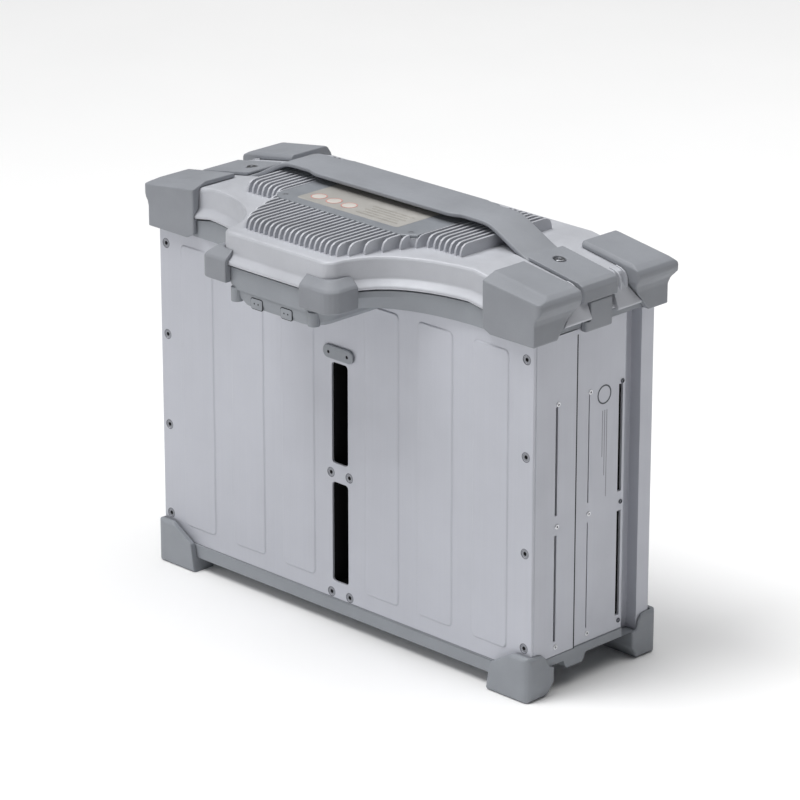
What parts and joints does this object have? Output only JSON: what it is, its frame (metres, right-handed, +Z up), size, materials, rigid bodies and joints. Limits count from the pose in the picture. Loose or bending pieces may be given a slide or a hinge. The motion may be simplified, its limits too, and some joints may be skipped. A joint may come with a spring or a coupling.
{
  "type": "power station",
  "caption": "Rugged air-cooled battery power pack: sheet-metal case, finned cast top with a connector overhang, corner guards, feet and a carry strap.",
  "frame": {"origin": "on the ground, under the middle of the whole pack's box", "axes": "+X to the pack's right seen from the front, +Y towards its rear, +Z up; the slotted front panel faces -Y"},
  "size_m": [0.3928, 0.2026, 0.317],
  "materials": {
    "panel_paint": "satin powder coat",
    "cover_paint": "satin powder coat on a casting",
    "plate_paint": "satin powder coat",
    "tray_plastic": "fine texture",
    "guard_rubber": "soft-touch over-moulding",
    "strap_rubber": "satin",
    "screw_steel": "machined",
    "socket_plastic": "moulded",
    "contact_brass": "machined",
    "busbar_copper": "rolled copper strip",
    "cell_film": "laminate film",
    "duct_aluminium": "black anodised sheet",
    "circuit_board": "lacquered board",
    "thermal_pad": "soft pad",
    "seal_rubber": "extruded cord",
    "lens_plastic": "clear diffuser"
  },
  "bodies": {
    "pack": {"front_panel": "panel_paint", "rear_shell": "panel_paint", "side_panel_right": "panel_paint", "side_panel_left": "panel_paint", "bottom_tray": "tray_plastic", "front_foot_right": "tray_plastic", "front_foot_left": "tray_plastic", "rear_foot_right": "tray_plastic", "rear_foot_left": "tray_plastic", "top_frame": "tray_plastic", "cover_seal": "seal_rubber", "heatsink_cover": "cover_paint", "label_plate": "plate_paint", "front_guard_right": "guard_rubber", "front_guard_left": "guard_rubber", "rear_guard_right": "guard_rubber", "rear_guard_left": "guard_rubber", "bumper_right": "guard_rubber", "bumper_left": "guard_rubber", "handle_strap": "strap_rubber", "strap_anchor_right": "guard_rubber", "strap_anchor_left": "guard_rubber", "anchor_screw_right": "screw_steel", "anchor_screw_left": "screw_steel", "side_tab_right": "guard_rubber", "side_tab_left": "guard_rubber", "status_plate": "tray_plastic", "power_socket": "socket_plastic", "positive_terminal": "contact_brass", "negative_terminal": "contact_brass", "flap_pin": "screw_steel", "status_lens": "lens_plastic", "cell_1_right": "cell_film", "cell_1_left": "cell_film", "cell_2_right": "cell_film", "cell_2_left": "cell_film", "cell_3_right": "cell_film", "cell_3_left": "cell_film", "cell_4_right": "cell_film", "cell_4_left": "cell_film", "cell_5_right": "cell_film", "cell_5_left": "cell_film", "cell_6_right": "cell_film", "cell_6_left": "cell_film", "cell_7_right": "cell_film", "cell_7_left": "cell_film", "front_duct_right": "duct_aluminium", "front_duct_left": "duct_aluminium", "middle_duct_right": "duct_aluminium", "middle_duct_left": "duct_aluminium", "rear_duct_right": "duct_aluminium", "rear_duct_left": "duct_aluminium", "plenum": "duct_aluminium", "control_board": "circuit_board", "thermal_pad": "thermal_pad", "busbar_right": "busbar_copper", "busbar_left": "busbar_copper"},
    "flap": {"socket_flap": "tray_plastic"},
    "button": {"power_button": "socket_plastic"}
  },
  "joints": [
    {"name": "flap_hinge", "type": "hinge", "parent": "pack", "child": "flap", "pos_m": [0, -0.08745, 0.2546], "axis": [-1, 0, 0], "range_deg": [0, 95]},
    {"name": "button_press", "type": "slide", "parent": "pack", "child": "button", "axis": [0, -1, 0], "range_m": [0, 0.0009], "stiffness_N_per_m": 600}
  ]
}
